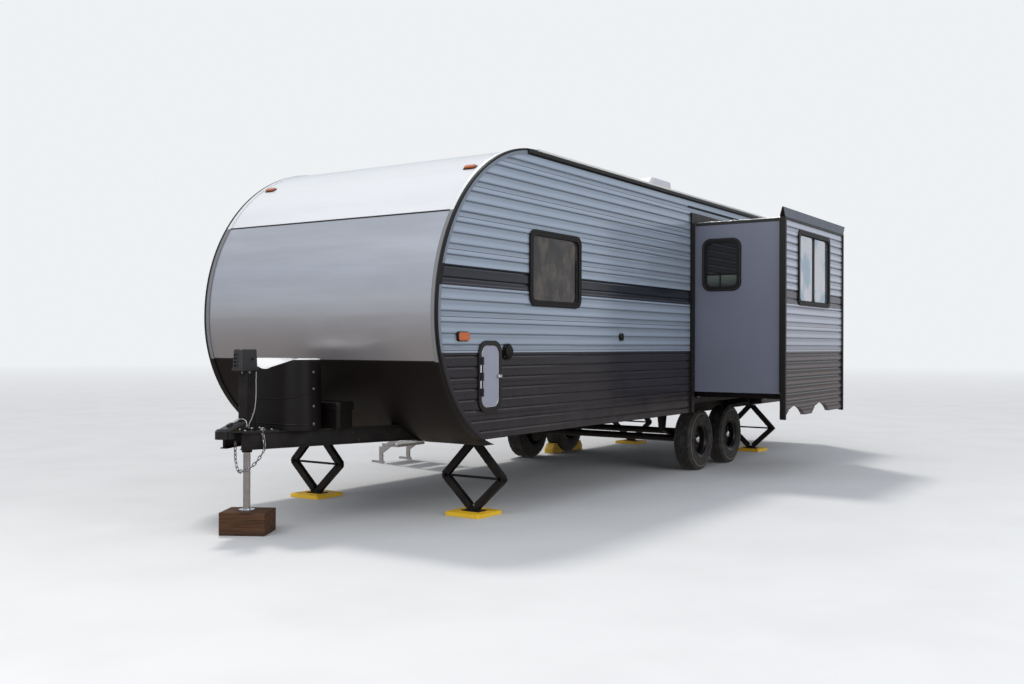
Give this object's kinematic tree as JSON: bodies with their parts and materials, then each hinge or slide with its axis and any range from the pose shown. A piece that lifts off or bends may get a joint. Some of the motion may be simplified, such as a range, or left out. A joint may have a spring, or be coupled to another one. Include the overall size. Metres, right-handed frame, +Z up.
{
  "type": "travel trailer caravan",
  "caption": "Rounded-nose travel trailer on jacks, ribbed silver and charcoal siding, room slide run out, spinning wheels, opening door, hatches and tongue jack.",
  "frame": {"origin": "on the ground below the middle of the whole trailer", "axes": "+X forward to the hitch, +Y to the road side with the room slide, +Z up"},
  "size_m": [9.678, 4.534, 3.41],
  "materials": {
    "silver_siding": "satin ribbed aluminium",
    "dark_siding": "satin ribbed aluminium",
    "silver_panel": "metallic gloss",
    "white_panel": "gloss fibreglass",
    "black_panel": "gloss fibreglass",
    "roof_membrane": "matt membrane",
    "dark_trim": "satin",
    "window_frame": "satin black",
    "dark_glass": "tinted",
    "hatch_panel": "smooth satin",
    "slide_panel": "smooth satin",
    "fascia_grey": "satin",
    "chassis_black": "satin",
    "floor_board": "plain board",
    "timber": "weathered",
    "jack_plastic": "grained",
    "jack_steel": "zinc plated",
    "pad_yellow": "moulded",
    "amber_lens": "clear lens",
    "red_lens": "clear lens",
    "black_plastic": "moulded",
    "step_alloy": "mill",
    "awning_cloth": "rolled cloth",
    "shroud_white": "moulded",
    "tyre_rubber": "treaded",
    "rim_paint": "satin",
    "coupler_black": "satin"
  },
  "bodies": {
    "trailer": {"air_conditioner": "shroud_white", "amber_lamps": "amber_lens", "awning": "awning_cloth", "axles": "chassis_black", "battery_box": "black_plastic", "chocks": "pad_yellow", "coupler": "coupler_black", "crossmembers": "chassis_black", "edge_trims": "dark_trim", "entry_frame": "window_frame", "entry_steps": "step_alloy", "floor": "floor_board", "front_panel_lower": "black_panel", "front_panel_mid": "silver_panel", "front_panel_upper": "white_panel", "gas_cover": "black_plastic", "grab_handle": "step_alloy", "jack_block": "timber", "jack_head": "jack_plastic", "jack_pads": "pad_yellow", "jack_tube": "chassis_black", "leaf_springs": "chassis_black", "left_wall": "silver_siding", "lower_siding": "dark_siding", "main_rails": "chassis_black", "opening_trim": "dark_trim", "rear_bumper": "chassis_black", "rear_wall": "silver_siding", "right_wall": "silver_siding", "roof": "roof_membrane", "roof_vents": "shroud_white", "scissor_jacks": "chassis_black", "side_fittings": "black_plastic", "slide_guides": "jack_steel", "storage_frames": "window_frame", "tail_lamps": "red_lens", "tongue_frame": "chassis_black", "window_frames": "window_frame", "window_glass": "dark_glass"},
    "wheel_front_left": {"tyre_front_left": "tyre_rubber", "rim_front_left": "rim_paint"},
    "wheel_front_right": {"tyre_front_right": "tyre_rubber", "rim_front_right": "rim_paint"},
    "wheel_rear_left": {"tyre_rear_left": "tyre_rubber", "rim_rear_left": "rim_paint"},
    "wheel_rear_right": {"tyre_rear_right": "tyre_rubber", "rim_rear_right": "rim_paint"},
    "slide_room": {"slide_shell": "slide_panel", "slide_face": "silver_siding", "slide_face_lower": "dark_siding", "slide_fascia": "fascia_grey", "slide_edge_trims": "dark_trim", "slide_window_frames": "window_frame", "slide_window_glass": "dark_glass", "slide_beams": "chassis_black"},
    "hatch_left": {"storage_door_left": "hatch_panel"},
    "hatch_right": {"storage_door_right": "hatch_panel"},
    "door": {"entry_door": "silver_siding", "entry_glass": "dark_glass"},
    "post": {"jack_post": "jack_steel"}
  },
  "joints": [
    {"name": "wheel_front_left_spin", "type": "hinge", "parent": "trailer", "child": "wheel_front_left", "pos_m": [-0.909, 1.102, 0.335], "axis": [0, 1, 0], "continuous": true},
    {"name": "wheel_front_right_spin", "type": "hinge", "parent": "trailer", "child": "wheel_front_right", "pos_m": [-0.909, -1.102, 0.335], "axis": [0, 1, 0], "continuous": true},
    {"name": "wheel_rear_left_spin", "type": "hinge", "parent": "trailer", "child": "wheel_rear_left", "pos_m": [-1.779, 1.102, 0.335], "axis": [0, 1, 0], "continuous": true},
    {"name": "wheel_rear_right_spin", "type": "hinge", "parent": "trailer", "child": "wheel_rear_right", "pos_m": [-1.779, -1.102, 0.335], "axis": [0, 1, 0], "continuous": true},
    {"name": "room_slide", "type": "slide", "parent": "trailer", "child": "slide_room", "axis": [0, 1, 0], "range_m": [-0.925, 0]},
    {"name": "hatch_left_hinge", "type": "hinge", "parent": "trailer", "child": "hatch_left", "pos_m": [3.372, 1.263, 1.137], "axis": [0, 0, -1], "range_deg": [0, 110]},
    {"name": "hatch_right_hinge", "type": "hinge", "parent": "trailer", "child": "hatch_right", "pos_m": [3.372, -1.263, 1.137], "axis": [0, 0, 1], "range_deg": [0, 110]},
    {"name": "door_hinge", "type": "hinge", "parent": "trailer", "child": "door", "pos_m": [0.712, -1.263, 1.77], "axis": [0, 0, 1], "range_deg": [0, 150]},
    {"name": "jack_lift", "type": "slide", "parent": "trailer", "child": "post", "axis": [0, 0, 1], "range_m": [0, 0.3]}
  ]
}
